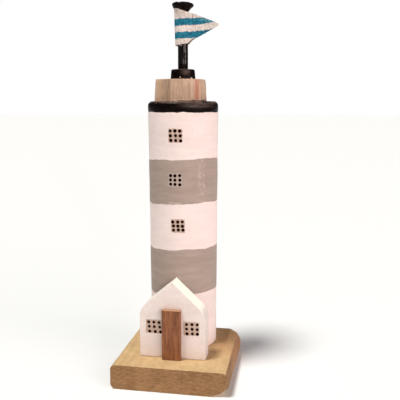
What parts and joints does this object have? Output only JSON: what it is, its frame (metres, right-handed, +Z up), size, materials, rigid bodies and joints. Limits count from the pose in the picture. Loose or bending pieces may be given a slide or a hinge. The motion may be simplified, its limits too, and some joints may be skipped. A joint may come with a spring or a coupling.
{
  "type": "wooden lighthouse ornament",
  "caption": "Painted wooden lighthouse ornament: banded round tower with drilled windows, gabled cottage and door, bare-wood lantern and striped cloth pennant on a peg mast, on a square board.",
  "frame": {"origin": "centre of the square board's underside, on the surface the ornament stands on", "axes": "+X to the right seen from the cottage's side, +Y to the back (from the cottage towards the tower), +Z up"},
  "size_m": [0.079, 0.08, 0.257],
  "materials": {
    "base_wood": "bare sanded softwood, oiled tan",
    "tower_paint": "brushed matt white paint with two grey bands",
    "black_paint": "brushed satin black paint",
    "bare_wood": "bare whittled wood",
    "striped_cloth": "plain-weave cotton with two printed teal stripes",
    "white_paint": "brushed matt white paint",
    "door_wood": "bare reddish-brown hardwood",
    "fastener_steel": "zinc-plated"
  },
  "bodies": {
    "root": {"base_plate": "base_wood", "tower": "tower_paint", "gallery_disc": "black_paint", "lantern_block": "bare_wood", "lantern_roof": "black_paint", "mast": "black_paint", "pennant": "striped_cloth", "cottage": "white_paint", "cottage_door": "door_wood", "tower_screw": "fastener_steel", "cottage_pins": "fastener_steel"}
  },
  "joints": []
}
